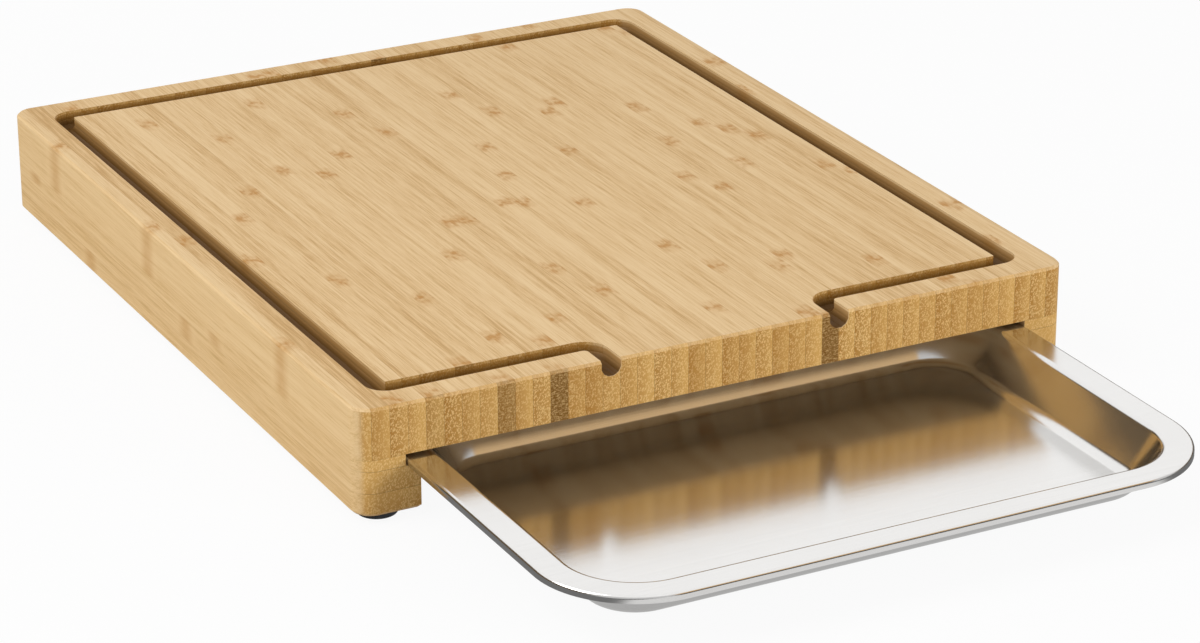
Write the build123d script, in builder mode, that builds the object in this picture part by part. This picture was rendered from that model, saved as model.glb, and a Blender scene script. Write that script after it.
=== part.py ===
from build123d import *
import os
from math import atan2, cos, degrees

# Bamboo cutting board on four rubber feet, with a pressed steel tray that slides out under its front edge.
# A slab of glued staves stands on spacers and rails at its sides. The slot that the spacers leave holds the
# tray's flange, and two spouts of the juice groove empty into the tray when it is pulled out.
# Frame: x to the right, y towards the back, z up. The origin is on the table, in the middle of the
# board's width and half way between the pulled-out tray's front and the board's back. Millimetres.

# Board
board_width = 330.0
board_depth = 390.0
slab_thickness = 22.0
corner_radius = 9.0       # upright corners of the board
top_edge = 1.1            # broken edge of the cutting surface
bottom_edge = 1.3         # broken lower edges of the rails

# Staves of the slab
first_stave_width = 6.27  # planed narrower than the rest
stave_width = 7.83
least_last_share = 0.6    # the last stave is at least this share of a stave wide

# Juice groove, cut with a round-nosed cutter. The nose is drawn with flats, because it crosses every stave
groove_inset = 18.0       # from the board's edge to the groove's middle
groove_width = 9.0
groove_depth = 7.2
nose_flats = 12           # round the whole circle
groove_corner_radius = 5.0
spout_spacing = 106.0     # between the two spouts
spout_corner_radius = 6.5

# Spacers and rails
spacer_thickness = 5.0
spacer_width = 20.5
rail_width = 27.0
rail_height = 19.5
lower_ply_thickness = 10.0

# Tray
tray_length = 196.0
pull_out = 153.5          # how far the tray stands out of the board as modelled
sheet = 0.8               # steel thickness
wall_run = 11.0           # how far a wall leans inwards from mouth to floor
pan_corner_radius = 30.0  # at the mouth
floor_round = 6.0
mouth_round = 3.0
lip_edge = 0.6            # broken edge of the turned-down lip

# Feet
foot_height = 3.5
foot_radius = 8.5
foot_edge = 0.8           # broken lower edge
foot_inset_x = 13.0
foot_inset_y = 12.0
recess_radius = 4.2       # for the head of the foot's screw
recess_depth = 2.2

# Clearances
tray_lift = 0.25          # between the lip and the ledge that it slides on
tray_top_gap = 1.5        # between the flange and the slab
tray_side_gap = 0.5       # between the lip and each spacer
tray_stop_gap = 0.5       # between the closed tray and the stop rail
pan_side_gap = 6.5        # between the pan's mouth and each rail
pan_ground_gap = 3.5      # from the rails' underside up to the pan's

# Levels
rail_bottom_z = foot_height
rail_top_z = rail_bottom_z + rail_height
ply_z = rail_bottom_z + lower_ply_thickness
slab_bottom_z = rail_top_z + spacer_thickness
slab_top_z = slab_bottom_z + slab_thickness

# Places along the board
board_y = pull_out / 2
front_y = board_y - board_depth / 2
back_y = board_y + board_depth / 2
left_x = -board_width / 2
stop_y = front_y + tray_length + tray_stop_gap

# Tray sizes that follow from the slot it runs in
tray_width = board_width - 2 * (spacer_width + tray_side_gap)
flange_width = rail_width - spacer_width - tray_side_gap + pan_side_gap
lip_height = spacer_thickness - tray_lift - tray_top_gap
lip_bottom_z = rail_top_z + tray_lift
flange_top_z = lip_bottom_z + lip_height
pan_bottom_z = rail_bottom_z + pan_ground_gap
pan_depth = flange_top_z - pan_bottom_z - sheet
mouth_width = tray_width - 2 * flange_width
mouth_length = tray_length - 2 * flange_width
wall_lean = atan2(wall_run, pan_depth)
wall_step = sheet / cos(wall_lean)
tray_y = front_y - pull_out + tray_length / 2

os.makedirs("parts", exist_ok=True)


# ---- Slab: one planed and routed blank, then cut along its glue lines ----

with BuildPart() as blank:
    with BuildSketch(Plane.XY.offset(slab_bottom_z)):
        with Locations((0, board_y)):
            RectangleRounded(board_width, board_depth, corner_radius)
    extrude(amount=slab_thickness)
    chamfer(blank.edges().group_by(Axis.Z)[-1], top_edge)

groove_radius = groove_width / 2
side_x = board_width / 2 - groove_inset
spout_x = spout_spacing / 2
near_y = front_y + groove_inset
far_y = back_y - groove_inset
outside_y = front_y - groove_width

with BuildPart() as groove:
    with BuildLine(Plane.XY.offset(slab_top_z)) as groove_path:
        FilletPolyline(
            (-spout_x, outside_y),
            (-spout_x, near_y),
            (-side_x, near_y),
            (-side_x, far_y),
            (side_x, far_y),
            (side_x, near_y),
            (spout_x, near_y),
            (spout_x, outside_y),
            radius=[spout_corner_radius] + [groove_corner_radius] * 4 + [spout_corner_radius],
        )
    cutter_plane = Plane(origin=(-spout_x, outside_y, slab_top_z), x_dir=(1, 0, 0), z_dir=(0, 1, 0))
    with BuildSketch(cutter_plane):
        with Locations((0, groove_depth - groove_radius)):
            RegularPolygon(groove_radius, nose_flats, major_radius=False, rotation=180 / nose_flats)
            Rectangle(groove_width, groove_depth, align=(Align.CENTER, Align.MAX))
    sweep(path=groove_path.line)

with BuildPart() as slab:
    add(blank.part)
    add(groove.part, mode=Mode.SUBTRACT)

line_count = int((board_width - first_stave_width) / stave_width - least_last_share) + 1
glue_lines = [left_x + first_stave_width + stave_width * k for k in range(line_count)]
stave_edges = [left_x] + glue_lines + [left_x + board_width]

for number, (low_x, high_x) in enumerate(zip(stave_edges, stave_edges[1:]), start=1):
    with BuildPart() as stave:
        add(slab.part)
        with Locations(((low_x + high_x) / 2, board_y, slab_bottom_z + slab_thickness / 2)):
            Box(high_x - low_x, board_depth, slab_thickness, mode=Mode.INTERSECT)
    stave.part.label = f"stave_{number:02d}"
    export_step(stave.part, f"parts/{stave.part.label}.step")


# ---- Spacers and rails: strips of the board's outline ----

def strip(name, low, high, bottom, top, lower_edge=0.0):
    """One strip of the board's outline, between two corners in plan and two levels."""
    with BuildPart() as piece:
        with BuildSketch(Plane.XY.offset(bottom)):
            with Locations((0, board_y)):
                RectangleRounded(board_width, board_depth, corner_radius)
            with Locations(((low[0] + high[0]) / 2, (low[1] + high[1]) / 2)):
                Rectangle(high[0] - low[0], high[1] - low[1], mode=Mode.INTERSECT)
        extrude(amount=top - bottom)
        if lower_edge:
            rim = piece.edges().group_by(Axis.Z)[0]
            butted = rim.filter_by(Axis.Y) if low[0] == -high[0] else []
            chamfer([edge for edge in rim if edge not in butted], lower_edge)
    piece.part.label = name
    export_step(piece.part, f"parts/{name}.step")


def layers(side, rail_low, rail_high, spacer_low, spacer_high):
    """A rail of two plies with its spacer on top."""
    strip(f"{side}_rail_lower", rail_low, rail_high, rail_bottom_z, ply_z, bottom_edge)
    strip(f"{side}_rail_upper", rail_low, rail_high, ply_z, rail_top_z)
    strip(f"{side}_spacer", spacer_low, spacer_high, rail_top_z, slab_bottom_z)


right_x = -left_x
rail_x = right_x - rail_width
spacer_x = right_x - spacer_width
layers("left", (left_x, front_y), (-rail_x, back_y), (left_x, front_y), (-spacer_x, back_y))
layers("right", (rail_x, front_y), (right_x, back_y), (spacer_x, front_y), (right_x, back_y))
for side, low_y in (("stop", stop_y), ("back", back_y - rail_width)):
    high_y = low_y + rail_width
    layers(side, (-rail_x, low_y), (rail_x, high_y), (-spacer_x, low_y), (spacer_x, high_y))


# ---- Tray: a pan pressed from one sheet, with a flat flange and a turned-down lip ----

with BuildPart() as pan_space:
    with BuildSketch(Plane.XY.offset(flange_top_z)):
        with Locations((0, tray_y)):
            RectangleRounded(mouth_width, mouth_length, pan_corner_radius)
    extrude(amount=-pan_depth, taper=degrees(wall_lean))
    fillet(pan_space.edges().group_by(Axis.Z)[0], floor_round)

with BuildPart() as tray:
    with BuildSketch(Plane.XY.offset(lip_bottom_z)):
        with Locations((0, tray_y)):
            RectangleRounded(tray_width, tray_length, pan_corner_radius + flange_width)
    extrude(amount=lip_height)
    chamfer(tray.edges().group_by(Axis.Z)[-1], lip_edge)
    with BuildSketch(Plane.XY.offset(lip_bottom_z)):
        with Locations((0, tray_y)):
            RectangleRounded(
                tray_width - 2 * sheet,
                tray_length - 2 * sheet,
                pan_corner_radius + flange_width - sheet,
            )
    extrude(amount=lip_height - sheet, mode=Mode.SUBTRACT)
    with BuildSketch(Plane.XY.offset(flange_top_z - sheet)):
        with Locations((0, tray_y)):
            inset = wall_run * sheet / pan_depth
            RectangleRounded(
                mouth_width + 2 * (wall_step - inset),
                mouth_length + 2 * (wall_step - inset),
                pan_corner_radius + wall_step - inset,
            )
    extrude(amount=-pan_depth, taper=degrees(wall_lean))
    fillet(tray.edges().group_by(Axis.Z)[0], floor_round + sheet)
    add(pan_space.part, mode=Mode.SUBTRACT)
    mouth = tray.faces().filter_by(Axis.Z).sort_by(Axis.Z)[-1].inner_wires()[0]
    fillet(mouth.edges(), mouth_round)

tray.part.label = "tray"
export_step(tray.part, "parts/tray.step")


# ---- Feet: round pads, each with a recess in its underside ----

foot_spots = {
    "front_left": (left_x + foot_inset_x, front_y + foot_inset_y),
    "front_right": (right_x - foot_inset_x, front_y + foot_inset_y),
    "back_left": (left_x + foot_inset_x, back_y - foot_inset_y),
    "back_right": (right_x - foot_inset_x, back_y - foot_inset_y),
}

for name, spot in foot_spots.items():
    with BuildPart() as foot:
        with BuildSketch(Plane.XY):
            with Locations(spot):
                Circle(foot_radius)
        extrude(amount=foot_height)
        chamfer(foot.edges().group_by(Axis.Z)[0], foot_edge)
        with BuildSketch(Plane.XY):
            with Locations(spot):
                Circle(recess_radius)
        extrude(amount=recess_depth, mode=Mode.SUBTRACT)
    foot.part.label = f"foot_{name}"
    export_step(foot.part, f"parts/{foot.part.label}.step")
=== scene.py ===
import math

import bmesh
import bpy
from mathutils import Matrix, Quaternion, Vector

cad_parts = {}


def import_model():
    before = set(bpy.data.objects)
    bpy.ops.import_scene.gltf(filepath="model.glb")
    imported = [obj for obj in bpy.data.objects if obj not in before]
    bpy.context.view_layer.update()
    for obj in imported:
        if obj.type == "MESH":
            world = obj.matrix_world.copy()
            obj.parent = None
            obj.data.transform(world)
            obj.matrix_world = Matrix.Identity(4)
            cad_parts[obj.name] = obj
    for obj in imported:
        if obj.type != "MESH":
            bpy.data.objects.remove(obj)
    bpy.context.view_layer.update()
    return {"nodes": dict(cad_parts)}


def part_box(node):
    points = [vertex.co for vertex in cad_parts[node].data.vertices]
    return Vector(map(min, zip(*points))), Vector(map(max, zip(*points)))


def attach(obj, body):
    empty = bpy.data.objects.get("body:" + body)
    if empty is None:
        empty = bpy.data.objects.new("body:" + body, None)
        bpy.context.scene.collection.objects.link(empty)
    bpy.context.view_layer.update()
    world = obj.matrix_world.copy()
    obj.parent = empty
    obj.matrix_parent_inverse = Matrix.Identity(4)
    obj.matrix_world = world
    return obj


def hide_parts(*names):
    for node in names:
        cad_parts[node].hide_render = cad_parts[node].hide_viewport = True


# A bamboo cutting board with a steel drip tray that slides out under its front edge, on a pale
# studio floor. Lengths are in millimetres. Only the places of the lamps and the camera, and the
# sides of the lamps and the floor, are in metres.

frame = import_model()
NODES = frame["nodes"]
MM = 0.001

# ---- Places read from the frame ----


def corners(node):
    """Lowest and highest corner of a node."""
    low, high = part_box(node)
    return low / MM, high / MM


TRAY_LOW, TRAY_HIGH = corners("tray")
RAIL_LOW, RAIL_HIGH = corners("left_rail_upper")
PLY_LOW, PLY_HIGH = corners("left_rail_lower")
SECOND_LOW, SECOND_HIGH = corners("stave_02")
LAST_LOW, LAST_HIGH = corners("stave_42")
SPACER_BOTTOM = corners("left_spacer")[0].z

BOARD_FRONT, BOARD_BACK = RAIL_LOW.y, RAIL_HIGH.y
BOARD_HALF = LAST_HIGH.x
SLAB_BOTTOM, SLAB_TOP = SECOND_LOW.z, SECOND_HIGH.z
FIRST_LINE = SECOND_LOW.x
STAVE = SECOND_HIGH.x - SECOND_LOW.x
LAST_STAVE = round((LAST_LOW.x - FIRST_LINE) / STAVE)

# ---- Tools: node trees written as expressions ----


def srgb(red, green, blue):
    """A screen colour from 0 to 255 as the linear colour that nodes take."""
    parts = [c / 255 for c in (red, green, blue)]
    linear = [c / 12.92 if c <= 0.04045 else ((c + 0.055) / 1.055) ** 2.4 for c in parts]
    return (*linear, 1.0)


def grey(level):
    """A grey of that strength, without a tint."""
    return (level, level, level, 1.0)


class Value:
    """An output socket that can be calculated with."""

    def __init__(self, nodes, socket):
        self.nodes = nodes
        self.socket = socket

    def math(self, operation, *others):
        inputs = dict(enumerate((self, *others)))
        return self.nodes.out(self.nodes.make("ShaderNodeMath", inputs, operation=operation))

    def __add__(self, other):
        return self.math("ADD", other)

    __radd__ = __add__

    def __mul__(self, other):
        return self.math("MULTIPLY", other)

    __rmul__ = __mul__

    def __sub__(self, other):
        return self.math("SUBTRACT", other)

    def __rsub__(self, other):
        return (self * -1.0).math("ADD", other)

    def __truediv__(self, other):
        return self.math("DIVIDE", other)

    def floor(self):
        return self.math("FLOOR")

    def fraction(self):
        return self.math("FRACT")

    def size(self):
        return self.math("ABSOLUTE")

    def least(self, other):
        return self.math("MINIMUM", other)

    def most(self, other):
        return self.math("MAXIMUM", other)

    def rise(self, low, high):
        """0 below low, 1 above high and a smooth step between."""
        inputs = {"Value": self, "From Min": low, "From Max": high}
        node = self.nodes.make("ShaderNodeMapRange", inputs, interpolation_type="SMOOTHSTEP")
        return self.nodes.out(node)


# Numbers of sockets whose names are not their own: a mix node's colours, a compare node's integers
COLOUR_A, COLOUR_B, COLOUR_OUT = 6, 7, 2
INTEGER_A, INTEGER_B = 2, 3


class Nodes:
    """Adds nodes to one tree."""

    def __init__(self, tree):
        self.tree = tree
        tree.nodes.clear()

    def make(self, kind, inputs=None, **settings):
        """A node of one kind: its settings first, then the values or links of its sockets."""
        node = self.tree.nodes.new(kind)
        for name, value in settings.items():
            setattr(node, name, value)
        for key, value in (inputs or {}).items():
            if isinstance(value, Value):
                self.tree.links.new(value.socket, node.inputs[key])
            else:
                node.inputs[key].default_value = value
        return node

    def out(self, node, name=0):
        return Value(self, node.outputs[name])

    def vector(self, x, y, z):
        return self.out(self.make("ShaderNodeCombineXYZ", {0: x, 1: y, 2: z}))

    def split(self, vector):
        node = self.make("ShaderNodeSeparateXYZ", {0: vector})
        return [self.out(node, axis) for axis in range(3)]

    def noise(self, place, steps=(1.0, 1.0, 1.0), detail=2.0, rough=0.5):
        """Noise at three coordinates, each multiplied by its own step."""
        vector = self.vector(*(part * step for part, step in zip(place, steps)))
        inputs = {"Vector": vector, "Scale": 1.0, "Detail": detail, "Roughness": rough}
        return self.out(self.make("ShaderNodeTexNoise", inputs))

    def random(self, seed):
        """Three even random numbers for each whole number."""
        node = self.make("ShaderNodeTexWhiteNoise", {"W": seed}, noise_dimensions="1D")
        return self.split(self.out(node, "Color"))

    def cells(self, vector):
        """Distance from the nearest of many scattered points."""
        node = self.make("ShaderNodeTexVoronoi", {"Vector": vector, "Scale": 1.0})
        return self.out(node, "Distance")

    def mix(self, share, low, high):
        """A colour between two colours."""
        inputs = {0: share, COLOUR_A: low, COLOUR_B: high}
        return self.out(self.make("ShaderNodeMix", inputs, data_type="RGBA"), COLOUR_OUT)

    def millimetres(self):
        """Object coordinates, and the object-space normal."""
        node = self.make("ShaderNodeTexCoord")
        place = [axis * (1 / MM) for axis in self.split(self.out(node, "Object"))]
        return place, self.split(self.out(node, "Normal"))


def material(name):
    """A new material, its nodes and its shader."""
    made = bpy.data.materials.new(name)
    made.use_nodes = True
    nodes = Nodes(made.node_tree)
    shader = nodes.make("ShaderNodeBsdfPrincipled")
    nodes.make("ShaderNodeOutputMaterial", {"Surface": nodes.out(shader)})
    return made, nodes, shader


def feed(nodes, shader, **values):
    """Links or sets the shader's sockets; an underscore in a name stands for a space."""
    for name, value in values.items():
        socket = shader.inputs[name.replace("_", " ")]
        if isinstance(value, Value):
            nodes.tree.links.new(value.socket, socket)
        else:
            socket.default_value = value


def bump(nodes, height, depth, strength=1.0):
    """The normal that a height from 0 to 1 gives over a depth."""
    inputs = {"Height": height, "Distance": depth * MM, "Strength": strength}
    return nodes.out(nodes.make("ShaderNodeBump", inputs))


# ---- Bamboo: strips, and the nodes of the stalk that show in them ----

FLAT_STRIP = 21.0         # width of the strips in a ply or spacer
LAYER_SHIFT = 0.37        # of a strip, from one layer to the next
LAYER_STEP = 40           # between the numbers of the strips in two layers
LAYER_EDGE = 0.01         # either side of the plane between two layers
SLAB_SEAM, BASE_SEAM = 0.22, 0.25    # how far a glue line's brown reaches
NODE_GAP = 215.0          # between two nodes of a strip
NODE_SEED, NODE_SEED_STEP = 11.0, 1.37
# Nodes whose place the photograph shows, from the board's front: by stave, counted from the first
# whole one, and by flat strip
SLAB_NODES = {3: [2.4], 7: [1.9], 10: [0.6], 26: [0.6], -1: [75.0, 221.0, 334.0]}
BASE_NODES = {
    math.floor(PLY_LOW.x / FLAT_STRIP): [293.0],
    math.floor(RAIL_LOW.x / FLAT_STRIP + LAYER_SHIFT) + LAYER_STEP: [179.0],
}


def strips_of_slab(x):
    """The stave that a point is in, its place across it and how near a glue line it is."""
    staves = (x - FIRST_LINE) / STAVE
    number = staves.floor().most(-1.0).least(float(LAST_STAVE))
    place = staves - number
    seam = (place - 0.5).size().rise(0.5 - SLAB_SEAM / STAVE, 0.5)
    return number, place, seam


def strips_of_base(across, z):
    """The flat strip that a point is in, its place up its layer and how near a glue line it is."""
    planes = [z - level for level in (PLY_HIGH.z, SPACER_BOTTOM)]
    layer = planes[0].rise(-LAYER_EDGE, LAYER_EDGE) + planes[1].rise(-LAYER_EDGE, LAYER_EDGE)
    number = (across / FLAT_STRIP + layer * LAYER_SHIFT).floor() + layer * LAYER_STEP
    nearest = planes[0].size().least(planes[1].size()).least((z - SLAB_BOTTOM).size())
    place = (z - PLY_LOW.z) / (PLY_HIGH.z - PLY_LOW.z)
    return number, place, 1.0 - nearest.rise(0.0, BASE_SEAM)


def node_distance(n, number, along, known):
    """How far it is to the nearest node of a strip."""
    shift = n.random(number * NODE_SEED_STEP + NODE_SEED)[0] * NODE_GAP
    distance = (((along - shift) / NODE_GAP + 0.5).fraction() - 0.5).size() * NODE_GAP
    for strip, places in known.items():
        here = 1.0 - (number - float(strip)).size().least(1.0)
        nearest, *others = ((along - (BOARD_FRONT + place)).size() for place in places)
        for other in others:
            nearest = nearest.least(other)
        distance = distance + here * (nearest - distance)
    return distance


FRAY, DRIFT = 11.0, 10.0              # how far a node's mark is drawn out and wanders
FRAY_STEPS = (1.1, 1.1, 0.06)         # of the noise, across, up and along a strip
DRIFT_STEPS = (0.2, 0.12, 0.1)
PATCH_STEPS = (0.3, 0.3, 0.22)
PATCH_EDGE = (0.38, 0.62)
SIDE_PATCH = 0.75                     # marks are more even on a side than on the top
STRAIGHT, EVEN, FAINT_CORE = 0.8, 0.8, 0.6    # by how much, on a side
CORE_EDGE = (0.6, 4.4)                # from the node, where each part of its mark fades
SMUDGE_EDGE = (1.5, 10.0)
GLOW_EDGE = (5.0, 16.0)
LEAST_SMUDGE = 0.35                   # between its patches
SMUDGE_SHARE, SIDE_LOSS, CORE_SHARE = 0.54, 0.18, 0.22


def node_marks(n, here, number, known, is_side):
    """How brown a node's mark is, with its smudge and core, and how pale the band round it."""
    fray = n.noise(here, FRAY_STEPS) - 0.5
    drift = n.noise(here, DRIFT_STEPS, detail=1.0) - 0.5
    wander = drift * DRIFT * (1.0 - is_side) + fray * FRAY * (1.0 - is_side * STRAIGHT)
    distance = node_distance(n, number, here[2] + wander, known)
    patch = n.noise(here, PATCH_STEPS).rise(*PATCH_EDGE)
    patch = patch + is_side * (SIDE_PATCH - patch) * EVEN
    smudge = (1.0 - distance.rise(*SMUDGE_EDGE)) * (LEAST_SMUDGE + (1.0 - LEAST_SMUDGE) * patch)
    core = (1.0 - distance.rise(*CORE_EDGE)) * patch * (1.0 - is_side * FAINT_CORE)
    mark = smudge * (SMUDGE_SHARE - is_side * SIDE_LOSS) + core * CORE_SHARE
    return mark, (1.0 - distance.rise(*GLOW_EDGE)) * (1.0 - smudge)


# ---- Bamboo: long grain ----

LIGHT_STRAW = srgb(231, 200, 153)
HONEY = srgb(212, 175, 123)
TOFFEE = srgb(180, 139, 82)
SIDE_GOLD = srgb(232, 196, 136)
NODE_BROWN = srgb(182, 126, 54)

# Noise in the grain: its steps across, up and along a strip, its roughness, its part in the shade
STREAKS = (
    ((0.2, 0.2, 0.004), 0.5, 1.3),      # wide and soft
    ((1.0, 1.0, 0.018), 0.6, 1.7),      # fibres
    ((3.0, 3.0, 0.055), 0.65, 2.1),     # as fine as hair
)
GRAIN_DETAIL = 3.0
MIDDLE_SHADE, TONE_PART = 0.46, 0.3
EDGE_STAVES = 0.5                     # middle of the numbers of the two browner staves
EDGE_REACH, EDGE_TONE = (0.6, 0.9), 1.2
HONEY_EDGE = (-0.1, 1.0)              # of the shade, over which straw turns to honey
TOFFEE_EDGE, TOFFEE_SHARE = (0.5, 1.3), 0.8
GLOW_SHARE, SIDE_SHARE = 0.25, 0.3


def straw_colour(n, grain, tone, mark, glow, is_side):
    """The colour along the fibres, from its streaks, its strip's tone and its nodes."""
    shade = MIDDLE_SHADE + (tone - 0.5) * TONE_PART
    for streak, (_, _, part) in zip(grain, STREAKS):
        shade = shade + (streak - 0.5) * part
    straw = n.mix(shade.rise(*HONEY_EDGE), LIGHT_STRAW, HONEY)
    straw = n.mix(shade.rise(*TOFFEE_EDGE) * TOFFEE_SHARE, straw, TOFFEE)
    straw = n.mix(glow * GLOW_SHARE, straw, LIGHT_STRAW)
    straw = n.mix(is_side * SIDE_SHARE, straw, SIDE_GOLD)
    return n.mix(mark, straw, NODE_BROWN)


# ---- Bamboo: end grain ----

END_LIGHT = srgb(238, 202, 138)
END_HONEY = srgb(212, 165, 94)
END_BROWN = srgb(176, 126, 60)
END_DARK = srgb(116, 78, 30)

WARP_STEPS = (1.1, 1.1, 1.0)
DOTS_ACROSS, DOTS_UP = 1.6, 1.15      # bundles of fibre in a millimetre
WARP_ACROSS, WARP_UP = 1.4, 1.8       # how far the noise pushes them
DOT_EDGE = (0.22, 0.62)               # from a bundle's middle, where it fades
DOT_LEAST, DOT_TILT = 0.45, 0.45      # how pale the bundles are, with the part that differs
RIPE_START, RIPE_LEAST, RIPE_OWN, RIPE_TONE = -0.08, 0.45, 0.5, 0.5
NODE_REACH = (1.2, 3.0)               # from a node, where its dark cut fades
NODE_STAIN, DOTS_LOST = 0.9, 0.6
CRACK_STEPS, CRACK_EDGE, CRACK_LIGHT = (1.0, 1.7, 1.0), (0.5, 0.6), 0.35
CRACK_ACROSS, CRACK_ROUGH = 0.5, 0.7


def end_grain(n, across, up):
    """Pale bundles of fibre, as they show where a strip is cut across."""
    warp = n.noise((across, up, 0.0), WARP_STEPS, detail=1.0)
    x = across * DOTS_ACROSS + warp * WARP_ACROSS
    y = up * DOTS_UP + warp * WARP_UP
    return 1.0 - n.cells(n.vector(x, y, 0.0)).rise(*DOT_EDGE)


def end_colour(n, dots, cracks, place, tones, through):
    """Browner towards one side of each strip, and dark where the cut runs through a node."""
    tone, tilt, ripeness = tones
    ripe = place * (RIPE_LEAST + RIPE_OWN * ripeness) + tone * RIPE_TONE + RIPE_START
    ground = n.mix(ripe.most(0.0).least(1.0), END_BROWN, END_HONEY)
    ground = n.mix(through * NODE_STAIN, ground, END_DARK)
    light = dots * (DOT_LEAST + DOT_TILT * tilt) * (1.0 - through * DOTS_LOST)
    light = light + through * cracks * CRACK_LIGHT
    return n.mix(light.least(1.0), ground, END_LIGHT)


# ---- Bamboo: the groove's brown, the cutter's scorch with painted shade that grows with depth ----

# Gold high on the groove's walls; lower down it turns to a brown that is partly the cutter's scorch
# and partly painted shade
GROOVE_GOLD = srgb(158, 108, 36)
GROOVE_SHADED_BROWN = srgb(88, 56, 8)

RIM = 3.0                 # nearer to the outline than this, a low point is on the board's outside
RIM_EDGE = 0.6
SPOUT_X, SPOUT_REACH = 53.0, 6.5      # middle and half width of a spout's way out to the front
SPOUT_EDGE, SPOUT_START = 0.5, (0.2, 0.7)
# Below CUT_TOP the groove browns, and down to CUT_DEEP painted shade darkens it further
CUT_TOP, CUT_DEEP, CUT_FLOOR = 0.9, 5.9, 7.4  # depths of the brown: its start, its full and its end
TOP_EDGE, FLOOR_EDGE = 0.5, 0.8
# How much brown shows at the top of the groove, and how much painted shade adds at its full depth
CUT_SHARE, DEPTH_SHADE_SHARE = 0.6, 0.35


def routed(x, y, z):
    """How brown a point in the groove is, from the cutter's scorch and from painted shade that
    grows with depth, and how far that shade has grown.
    """
    depth = SLAB_TOP - z
    depth_shade = depth.rise(CUT_TOP, CUT_DEEP)
    brown = depth.rise(CUT_TOP, CUT_TOP + TOP_EDGE) * (CUT_SHARE + DEPTH_SHADE_SHARE * depth_shade)
    beside = 1.0 - (x.size() - (BOARD_HALF - RIM)).rise(0.0, RIM_EDGE)
    behind = 1.0 - (y - (BOARD_BACK - RIM)).rise(0.0, RIM_EDGE)
    in_spout = 1.0 - ((x.size() - SPOUT_X).size() - SPOUT_REACH).rise(0.0, SPOUT_EDGE)
    into = y - BOARD_FRONT
    before = into.rise(RIM - RIM_EDGE, RIM).most(into.rise(*SPOUT_START) * in_spout)
    above = 1.0 - depth.rise(CUT_FLOOR, CUT_FLOOR + FLOOR_EDGE)
    return brown * beside * behind * before * above, depth_shade


# ---- Bamboo: the materials ----

END_TURN, SIDE_TURN = (0.55, 0.85), (0.6, 0.9)    # of a normal, where a face counts as end or side
OWN_STEP, OWN_ALONG = 7.3, 31.0       # from one strip's stretch of grain to the next one's
SEAM_LONG, SEAM_END = 0.1, 0.35       # how dark a glue line is, and what an end adds to it
WOOD_ROUGH, FIBRE_ROUGH, END_ROUGH, MARK_ROUGH = 0.5, 0.16, 0.12, 0.05
WOOD_RELIEF, WOOD_BUMP = 0.06, 0.6
FIBRE_HEIGHT, HAIR_HEIGHT, DOT_HEIGHT, SEAM_HEIGHT = 0.5, 0.5, 0.8, 0.6
OILED_SHEEN = 0.14


def bamboo(name, grain="y", slab=True):
    """Glued bamboo: upright staves in the slab, flat strips in the rails and spacers."""
    made, n, shader = material(name)
    (x, y, z), normal = n.millimetres()
    across, along = (x, y) if grain == "y" else (y, x)
    end_axis = 1 if grain == "y" else 0
    is_end = normal[end_axis].size().rise(*END_TURN)
    is_side = normal[1 - end_axis].size().rise(*SIDE_TURN)
    number, place, seam = strips_of_slab(x) if slab else strips_of_base(across, z)
    known = SLAB_NODES if slab else BASE_NODES if grain == "y" else {}
    tones = n.random(number)

    # Each strip has its own stretch of grain
    own = number * OWN_STEP
    stretch = (across + own, z, along + own * OWN_ALONG)
    streaks = [
        n.noise(stretch, steps, detail=GRAIN_DETAIL, rough=rough) for steps, rough, _ in STREAKS
    ]
    mark, glow = node_marks(n, (across + own, z, along), number, known, is_side)
    tone = tones[0]
    if slab:
        tone = tone + (1.0 - (number - EDGE_STAVES).size().rise(*EDGE_REACH)) * EDGE_TONE
    straw = straw_colour(n, streaks, tone, mark, glow, is_side)

    dots = end_grain(n, across + own, z)
    flaws = (across * CRACK_ACROSS + own, z, 0.0)
    cracks = n.noise(flaws, CRACK_STEPS, detail=GRAIN_DETAIL, rough=CRACK_ROUGH).rise(*CRACK_EDGE)
    through = 1.0 - node_distance(n, number, along, known).rise(*NODE_REACH)
    ends = end_colour(n, dots, cracks, place, tones, through)

    colour = n.mix(is_end, straw, ends)
    colour = n.mix(seam * (SEAM_LONG + SEAM_END * is_end), colour, END_DARK)
    # In the groove: the cutter's scorch, and painted shade that turns it from gold to brown with
    # depth
    if slab:
        cut, depth_shade = routed(x, y, z)
        colour = n.mix(cut, colour, n.mix(depth_shade, GROOVE_GOLD, GROOVE_SHADED_BROWN))
    _, fibre, hair = streaks
    height = (fibre * FIBRE_HEIGHT + hair * HAIR_HEIGHT) * (1.0 - is_end)
    height = height + dots * is_end * DOT_HEIGHT - seam * SEAM_HEIGHT
    rough = WOOD_ROUGH + (fibre - 0.5) * FIBRE_ROUGH + is_end * END_ROUGH + mark * MARK_ROUGH
    feed(
        n,
        shader,
        Base_Color=colour,
        Roughness=rough,
        Normal=bump(n, height, WOOD_RELIEF, WOOD_BUMP),
        Specular_IOR_Level=OILED_SHEEN,
    )
    return made


# ---- Steel, rubber and zinc ----

STEEL_DARK, STEEL_LIGHT = srgb(198, 197, 195), srgb(220, 219, 218)
BRUSH_STEPS, CLOUD_STEPS = (0.012, 3.0, 3.0), (0.02, 0.03, 0.03)
BRUSH_TONE, CLOUD_TONE = 0.8, 0.3
STEEL_ROUGH, BRUSH_ROUGH, CLOUD_ROUGH = 0.11, 0.07, 0.02
BRUSH_RELIEF = 0.012

RUBBER_DARK, RUBBER_LIGHT = srgb(26, 28, 34), srgb(48, 51, 58)
RUBBER_STEPS = (2.4, 2.4, 2.4)
RUBBER_ROUGH, RUBBER_GRAIN_ROUGH = 0.5, 0.2
RUBBER_RELIEF = 0.04

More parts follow.
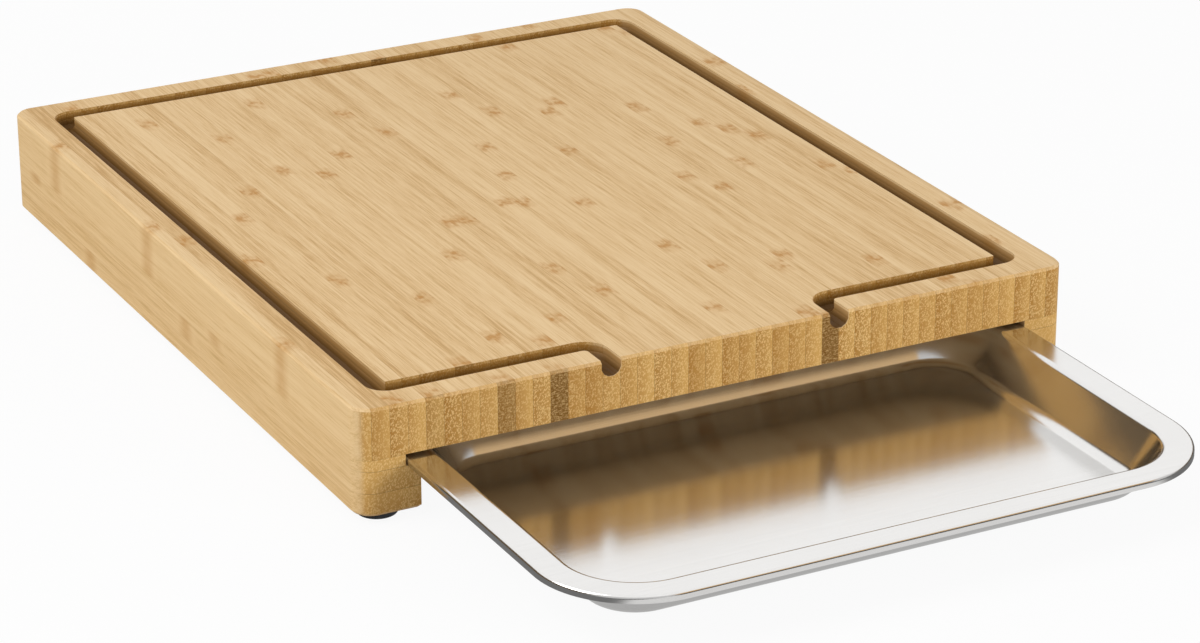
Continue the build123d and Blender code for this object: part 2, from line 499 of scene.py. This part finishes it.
ZINC_DARK, ZINC_LIGHT = srgb(150, 150, 152), srgb(196, 197, 198)
ZINC_STEPS = (0.9, 0.9, 0.9)
ZINC_ROUGH, ZINC_CLOUD_ROUGH = 0.28, 0.2


def brushed_steel():
    """Satin stainless sheet, brushed across the tray's width."""
    made, n, shader = material("tray_steel")
    place, _ = n.millimetres()
    lines = n.noise(place, BRUSH_STEPS, detail=3.0, rough=0.65)
    clouds = n.noise(place, CLOUD_STEPS)
    tone = 0.5 + (lines - 0.5) * BRUSH_TONE + (clouds - 0.5) * CLOUD_TONE
    feed(
        n,
        shader,
        Base_Color=n.mix(tone, STEEL_DARK, STEEL_LIGHT),
        Metallic=1.0,
        Roughness=STEEL_ROUGH + lines * BRUSH_ROUGH + clouds * CLOUD_ROUGH,
        Normal=bump(n, lines, BRUSH_RELIEF),
    )
    return made


def rubber():
    """Dull black rubber with a fine grain."""
    made, n, shader = material("foot_rubber")
    place, _ = n.millimetres()
    grain = n.noise(place, RUBBER_STEPS, detail=3.0)
    feed(
        n,
        shader,
        Base_Color=n.mix(grain, RUBBER_DARK, RUBBER_LIGHT),
        Roughness=RUBBER_ROUGH + grain * RUBBER_GRAIN_ROUGH,
        Normal=bump(n, grain, RUBBER_RELIEF),
    )
    return made


def zinc():
    """Plated steel with a cloudy shine."""
    made, n, shader = material("screw_steel")
    place, _ = n.millimetres()
    cloud = n.noise(place, ZINC_STEPS, detail=3.0)
    colour = n.mix(cloud, ZINC_DARK, ZINC_LIGHT)
    rough = ZINC_ROUGH + cloud * ZINC_CLOUD_ROUGH
    feed(n, shader, Base_Color=colour, Metallic=1.0, Roughness=rough)
    return made


def dress(starts, chosen):
    """Gives a finished material to the CAD nodes whose names start so."""
    for name in NODES:
        if name.startswith(starts):
            for place in NODES[name].material_slots:
                place.material = chosen


# ---- Tools for pieces that Geometry Nodes make ----

BEND_STEPS = 10           # points in each bend of a section
CORNER_STEPS = 28         # points in each corner of the tray
ROUND_STEPS = 64          # points round a foot or a screw
WELD = 0.02               # points nearer than this become one
SHARPEST = 35.0           # degrees; an edge that turns by more stays sharp


def geometry_tree(name, inputs):
    """An empty geometry tree with float inputs, its nodes and its input sockets by name."""
    tree = bpy.data.node_groups.new(name, "GeometryNodeTree")
    for label, value in inputs.items():
        socket = tree.interface.new_socket(label, in_out="INPUT", socket_type="NodeSocketFloat")
        socket.default_value = value
    tree.interface.new_socket("Geometry", in_out="OUTPUT", socket_type="NodeSocketGeometry")
    nodes = Nodes(tree)
    start = nodes.make("NodeGroupInput")
    return tree, nodes, {label: nodes.out(start, label) for label in inputs}


def finish_tree(g, geometry, chosen):
    """Realises and paints what a tree has made, and sends it out."""
    real = g.out(g.make("GeometryNodeRealizeInstances", {"Geometry": geometry}))
    painted = g.out(g.make("GeometryNodeSetMaterial", {"Geometry": real, "Material": chosen}))
    g.make("NodeGroupOutput", {"Geometry": painted})


def grow(name, tree, values, body):
    """Runs a geometry tree with its inputs set; the plain mesh becomes a piece of that body."""
    holder = bpy.data.objects.new(name, bpy.data.meshes.new(name))
    bpy.context.scene.collection.objects.link(holder)
    modifier = holder.modifiers.new("shape", "NODES")
    modifier.node_group = tree
    for item in tree.interface.items_tree:
        if item.in_out == "INPUT" and item.name in values:
            modifier[item.identifier] = values[item.name]
    bake(holder, body)
    return holder


def bake(holder, body):
    """Replaces an object's modifiers by their result and lets it ride on a body."""
    graph = bpy.context.evaluated_depsgraph_get()
    mesh = bpy.data.meshes.new_from_object(holder.evaluated_get(graph))
    holder.modifiers.clear()
    holder.data = mesh
    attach(holder, body)


def smooth(piece, body):
    """Smooth shading in which flat faces stay flat and the sharpest edges stay sharp."""
    piece.data.shade_smooth()
    piece.data.set_sharp_from_angle(angle=math.radians(SHARPEST))
    weighted = piece.modifiers.new("weighted", "WEIGHTED_NORMAL")
    weighted.keep_sharp = True
    bake(piece, body)


def section(g, points):
    """A bent line to sweep: each point's way in from the outline, its height and its bend."""
    line = g.out(g.make("GeometryNodeMeshLine", {"Count": len(points)}, mode="OFFSET"))
    index = g.out(g.make("GeometryNodeInputIndex"))
    radius = index * 0.0
    for number, (inwards, upwards, bend) in enumerate(points):
        compare = {INTEGER_A: index, INTEGER_B: number}
        chosen = g.out(g.make("FunctionNodeCompare", compare, data_type="INT", operation="EQUAL"))
        place = g.vector(inwards * -MM, upwards * -MM, 0.0)
        move = {"Geometry": line, "Selection": chosen, "Position": place}
        line = g.out(g.make("GeometryNodeSetPosition", move))
        radius = radius + chosen * (bend * MM)
    curve = g.out(g.make("GeometryNodeMeshToCurve", {"Mesh": line}))
    bends = {"Curve": curve, "Radius": radius, "Count": BEND_STEPS, "Limit Radius": True}
    return g.out(g.make("GeometryNodeFilletCurve", bends, mode="POLY"))


def sweep(g, outline, profile):
    """The surface of a section carried round an outline."""
    upright = g.out(g.make("GeometryNodeSetCurveNormal", {"Curve": outline}, mode="Z_UP"))
    inputs = {"Curve": upright, "Profile Curve": profile}
    swept = g.out(g.make("GeometryNodeCurveToMesh", inputs))
    return g.out(g.make("GeometryNodeFlipFaces", {"Mesh": swept}))


def merged(g, *parts):
    """Several surfaces as one, welded where they meet."""
    join = g.make("GeometryNodeJoinGeometry")
    for part in parts:
        g.tree.links.new(part.socket, join.inputs[0])
    inputs = {"Geometry": g.out(join), "Distance": WELD * MM}
    return g.out(g.make("GeometryNodeMergeByDistance", inputs))


def shifted(g, geometry, y=0.0, z=0.0):
    """Geometry moved backwards and up."""
    inputs = {"Geometry": geometry, "Translation": g.vector(0.0, y * MM, z * MM)}
    return g.out(g.make("GeometryNodeTransform", inputs))


# ---- Tray: one sheet, pressed and turned down at its lip ----

SHEET = 0.8
TRAY_SIZES = {
    "Width": TRAY_HIGH.x - TRAY_LOW.x,
    "Length": TRAY_HIGH.y - TRAY_LOW.y,
    "Corner": 42.5,
    "Lip height": 3.2,
    "Depth": 18.7,
    "Flange": 12.5,       # from the lip to the mouth
    "Wall run": 11.0,     # how far a wall leans inwards
    "Floor run": 4.0,     # flat part of the sheet that is swept round the floor
}
LIP_ROUND, MOUTH_ROUND, FLOOR_ROUND = 1.5, 3.0, 6.0


def rounded_outline(g, size, inset):
    """The lip's outline moved inwards, with as many points whatever the inset."""
    sides = {
        "Width": (size["Width"] - inset * 2.0) * MM,
        "Height": (size["Length"] - inset * 2.0) * MM,
    }
    corner = {
        "Curve": g.out(g.make("GeometryNodeCurvePrimitiveQuadrilateral", sides)),
        "Radius": (size["Corner"] - inset) * MM,
        "Count": CORNER_STEPS,
        "Limit Radius": False,
    }
    return g.out(g.make("GeometryNodeFilletCurve", corner, mode="POLY"))


def tray_tree(chosen):
    """Sweeps the sheet's section round the lip's outline and fills the floor."""
    tree, g, size = geometry_tree("pressed_tray", TRAY_SIZES)
    foot_of_wall = size["Flange"] + size["Wall run"]
    floor_edge = foot_of_wall + size["Floor run"]
    down = size["Depth"] * -1.0
    points = [
        (0.0, size["Lip height"] * -1.0, 0.0),
        (0.0, 0.0, LIP_ROUND),
        (size["Flange"], 0.0, MOUTH_ROUND),
        (foot_of_wall, down, FLOOR_ROUND),
        (floor_edge, down, 0.0),
    ]
    walls = sweep(g, rounded_outline(g, size, 0.0), section(g, points))
    inner = {"Curve": rounded_outline(g, size, floor_edge)}
    filled = g.out(g.make("GeometryNodeFillCurve", inner, mode="NGONS"))
    finish_tree(g, merged(g, walls, shifted(g, filled, z=down)), chosen)
    return tree


def make_tray(chosen):
    """The tray at its place, with the sheet's thickness."""
    piece = grow("drip_tray", tray_tree(chosen), TRAY_SIZES, "tray")
    middle = (TRAY_LOW.y + TRAY_HIGH.y) / 2
    piece.data.transform(Matrix.Translation((0.0, middle * MM, TRAY_HIGH.z * MM)))
    wall = piece.modifiers.new("thickness", "SOLIDIFY")
    wall.thickness = SHEET * MM
    wall.offset = -1.0
    wall.use_even_offset = True
    bake(piece, "tray")
    smooth(piece, "tray")
    return piece


# ---- Feet: a turned rubber pad under each corner, and the screw in its recess ----

FOOT_RADIUS, FOOT_HEIGHT = 8.5, 3.5
FOOT_EDGE, SEAT_EDGE = 0.9, 0.15      # bends of the lower and the upper edge
RECESS, RECESS_DEPTH = 4.2, 2.2
RECESS_EDGE, RECESS_CORNER = 0.3, 0.2
HEAD, HEAD_HEIGHT, HEAD_ROUND = 3.4, 1.5, 0.9
CROSS_LONG, CROSS_WIDE, CROSS_DEEP = 3.8, 0.9, 0.9


def circle(g, radius):
    """A round outline."""
    inputs = {"Resolution": ROUND_STEPS, "Radius": radius * MM}
    return g.out(g.make("GeometryNodeCurvePrimitiveCircle", inputs, mode="RADIUS"))


def under_corners(g, piece, size):
    """Four copies of a piece, one at each foot."""
    spread = {"Size X": size["Spread x"] * MM, "Size Y": size["Spread y"] * MM}
    grid = g.out(g.make("GeometryNodeMeshGrid", {**spread, "Vertices X": 2, "Vertices Y": 2}))
    copies = g.out(g.make("GeometryNodeInstanceOnPoints", {"Points": grid, "Instance": piece}))
    return shifted(g, copies, y=size["Middle y"])


def foot_tree(layout, chosen):
    """A pad with a rounded lower edge and a round recess."""
    sizes = {"Radius": FOOT_RADIUS, "Height": FOOT_HEIGHT, **layout}
    tree, g, size = geometry_tree("rubber_feet", sizes)
    radius, height = size["Radius"], size["Height"]
    points = [
        (radius, height, 0.0),
        (0.0, height, SEAT_EDGE),
        (0.0, 0.0, FOOT_EDGE),
        (radius - RECESS, 0.0, RECESS_EDGE),
        (radius - RECESS, RECESS_DEPTH, RECESS_CORNER),
        (radius, RECESS_DEPTH, 0.0),
    ]
    pad = merged(g, sweep(g, circle(g, radius), section(g, points)))
    finish_tree(g, under_corners(g, pad, size), chosen)
    return tree


def screw_tree(layout, chosen):
    """A pan head with a cross recess, seated in its foot and facing down."""
    tree, g, size = geometry_tree("foot_screws", layout)
    face = RECESS_DEPTH - HEAD_HEIGHT
    points = [
        (HEAD, RECESS_DEPTH, 0.0),
        (0.0, RECESS_DEPTH, 0.0),
        (0.0, face, HEAD_ROUND),
        (HEAD, face, 0.0),
    ]
    head = merged(g, sweep(g, circle(g, HEAD), section(g, points)))
    cut = g.make("GeometryNodeMeshBoolean", {"Mesh 1": head}, operation="DIFFERENCE")
    for long, wide in ((CROSS_LONG, CROSS_WIDE), (CROSS_WIDE, CROSS_LONG)):
        bar = g.make("GeometryNodeMeshCube", {"Size": (long * MM, wide * MM, CROSS_DEEP * 2 * MM)})
        g.tree.links.new(shifted(g, g.out(bar), z=face).socket, cut.inputs["Mesh 2"])
    finish_tree(g, under_corners(g, g.out(cut), size), chosen)
    return tree


def make_under(name, tree):
    """A piece of four like parts under the board, its faces turned outwards."""
    piece = grow(name, tree, {}, "board")
    shell = bmesh.new()
    shell.from_mesh(piece.data)
    bmesh.ops.recalc_face_normals(shell, faces=shell.faces)
    shell.to_mesh(piece.data)
    shell.free()
    smooth(piece, "board")
    return piece


tray = make_tray(brushed_steel())
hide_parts("tray")

dress(("stave_",), bamboo("bamboo_slab"))
dress(("left_", "right_"), bamboo("bamboo_rails", slab=False))
dress(("stop_", "back_"), bamboo("bamboo_cross_rails", grain="x", slab=False))

foot_names = [name for name in NODES if name.startswith("foot_")]
foot_middles = [sum(corners(name), Vector()) / 2 for name in foot_names]
foot_x = [middle.x for middle in foot_middles]
foot_y = [middle.y for middle in foot_middles]
layout = {
    "Spread x": max(foot_x) - min(foot_x),
    "Spread y": max(foot_y) - min(foot_y),
    "Middle y": (min(foot_y) + max(foot_y)) / 2,
}
feet = make_under("rubber_feet", foot_tree(layout, rubber()))
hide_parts(*foot_names)
make_under("foot_screws", screw_tree(layout, zinc()))

# ---- Floor and light ----

WHITE = grey(1.0)
FLOOR_SIDE = 30.0
FLOOR_GREY, FLOOR_ROUGH = grey(0.75), 0.9
FLOOR_GLOW = 0.93         # how much of the floor's look is its own white
MIRRORED_GLOW = 0.95      # the same where steel mirrors the floor
# Painted shade on the floor as the steel shows it: dimmer beside the board and behind the tray's
# front edge
DIM_BESIDE, DIM_BELOW = 0.2, 0.62     # of its white, in steel
DIM_EDGE, DIM_BELOW_EDGE = 20.0, 10.0    # over which the floor in the steel turns dim

EVEN_LIGHT = grey(0.5)
BACKDROP = grey(1.3)
GREY_FRONT = grey(0.8)
DIM_FRONT = (0.1, 0.095, 0.09, 1.0)
# Painted reflections, seen only in steel: the gold and brown of the bamboo board in the tray's
# walls
PAINTED_GOLD_REFLECTION = (0.85, 0.57, 0.29, 1.0)
PAINTED_BROWN_REFLECTION = (0.16, 0.11, 0.06, 1.0)
# Where the colours in the steel change, by a direction's part to the right, to the front and up
FRONT_EDGE = (0.1, 0.5)
WARM_EDGE, BRIGHT_EDGE = (0.28, 0.42), (0.62, 0.72)
WARM_RIGHT, WARM_RIGHT_EDGE = 0.43, (0.14, 0.26)
BACK_EDGE = (0.2, 0.32)
LEFT_EDGE, LEFT_LIFT = (0.0, 0.3), 0.2

# Each lamp's place, the point it looks at, its side, its power in watts and whether steel shows it
LAMPS = {
    "key_box": ((-1.6, 0.1, 1.6), (0.0, 0.05, 0.03), 1.4, 27.0, True),
    "front_box": ((1.2, -1.9, 0.75), (0.0, -0.1, 0.03), 1.0, 21.0, False),
}


def floor():
    """A pale floor that keeps the object's shadow. It is clear from below; in steel it shows
    painted shade beside the board and behind the tray's front edge.
    """
    bpy.ops.mesh.primitive_plane_add(size=FLOOR_SIDE, location=(0, 0, 0))
    plane = bpy.context.object
    plane.name = "studio_floor"
    made, n, shader = material("pale_floor")
    feed(n, shader, Base_Color=FLOOR_GREY, Roughness=FLOOR_ROUGH)
    (x, y, _), _ = n.millimetres()
    beside = (x.size() - BOARD_HALF + DIM_EDGE).rise(0.0, DIM_EDGE)
    below = (y - TRAY_LOW.y).rise(-DIM_EDGE, DIM_BELOW_EDGE)
    path = n.make("ShaderNodeLightPath")
    mirrored = n.out(path, "Is Glossy Ray")
    # Painted shade: the floor in the steel is dimmed beside the board and behind the tray's front
    # edge
    shade_in_steel = (beside * (1.0 - DIM_BESIDE)).most(below * (1.0 - DIM_BELOW))
    shown = {"Color": WHITE, "Strength": 1.0 - mirrored * shade_in_steel}
    glow = n.out(n.make("ShaderNodeEmission", shown))
    seen = n.out(path, "Is Camera Ray") * FLOOR_GLOW + mirrored * MIRRORED_GLOW
    both = n.out(n.make("ShaderNodeMixShader", {0: seen, 1: n.out(shader), 2: glow}))
    clear = n.out(n.make("ShaderNodeBsdfTransparent"))
    from_below = n.out(n.make("ShaderNodeNewGeometry"), "Backfacing")
    either = n.out(n.make("ShaderNodeMixShader", {0: from_below, 1: both, 2: clear}))
    output = next(node for node in n.tree.nodes if node.type == "OUTPUT_MATERIAL")
    n.tree.links.new(either.socket, output.inputs["Surface"])
    plane.data.materials.append(made)


def world():
    """Even light, white for the camera; in steel a bright backdrop, a dim front, painted board
    reflections.
    """
    made = bpy.data.worlds.new("studio")
    bpy.context.scene.world = made
    made.use_nodes = True
    n = Nodes(made.node_tree)
    x, y, z = n.split(n.out(n.make("ShaderNodeTexCoord"), "Generated"))
    # Painted reflection: the board's gold, seen low in front in the steel
    front = n.mix(z.rise(*WARM_EDGE), DIM_FRONT, PAINTED_GOLD_REFLECTION)
    front = n.mix((x - WARM_RIGHT).size().rise(*WARM_RIGHT_EDGE), front, GREY_FRONT)
    front = n.mix(z.rise(*BRIGHT_EDGE), front, BACKDROP)
    lift = (x * -1.0).rise(*LEFT_EDGE) * LEFT_LIFT
    # Painted reflection: the board's brown, seen behind in the steel
    back = n.mix((z - lift).rise(*BACK_EDGE), PAINTED_BROWN_REFLECTION, BACKDROP)
    mirrored = n.mix((y * -1.0).rise(*FRONT_EDGE), back, front)
    path = n.make("ShaderNodeLightPath")
    colour = n.mix(n.out(path, "Is Glossy Ray"), EVEN_LIGHT, mirrored)
    colour = n.mix(n.out(path, "Is Camera Ray"), colour, WHITE)
    shell = n.make("ShaderNodeBackground", {"Color": colour})
    n.make("ShaderNodeOutputWorld", {"Surface": n.out(shell)})


def lamp(name, place, target, side, power, in_steel):
    """A square soft box that looks at a point."""
    light = bpy.data.lights.new(name, "AREA")
    light.shape = "SQUARE"
    light.size = side
    light.energy = power
    made = bpy.data.objects.new(name, light)
    bpy.context.scene.collection.objects.link(made)
    made.location = place
    made.visible_glossy = in_steel
    look = Vector(target) - Vector(place)
    made.rotation_euler = look.to_track_quat("-Z", "Y").to_euler()


# ---- Camera ----

LENS, SENSOR = 121.76, 36.0
CAMERA_PLACE = Vector((-0.7462, -1.43875, 0.6970))
CAMERA_LOOK = Vector((0.42557911, 0.8168907, -0.38932249))
CAMERA_ROLL = -0.108      # degrees
NEAREST, FARTHEST = 0.05, 50.0


def camera():
    """The photograph's own view, found from the board's edges."""
    data = bpy.data.cameras.new("photo_camera")
    data.lens = LENS
    data.sensor_width = SENSOR
    data.clip_start, data.clip_end = NEAREST, FARTHEST
    made = bpy.data.objects.new("photo_camera", data)
    bpy.context.scene.collection.objects.link(made)
    made.location = CAMERA_PLACE
    roll = Quaternion((0, 0, 1), math.radians(CAMERA_ROLL))
    made.rotation_mode = "QUATERNION"
    made.rotation_quaternion = CAMERA_LOOK.to_track_quat("-Z", "Y") @ roll
    bpy.context.scene.camera = made


floor()
world()
for name, settings in LAMPS.items():
    lamp(name, *settings)
camera()

scene = bpy.context.scene
scene.view_settings.view_transform = "Standard"
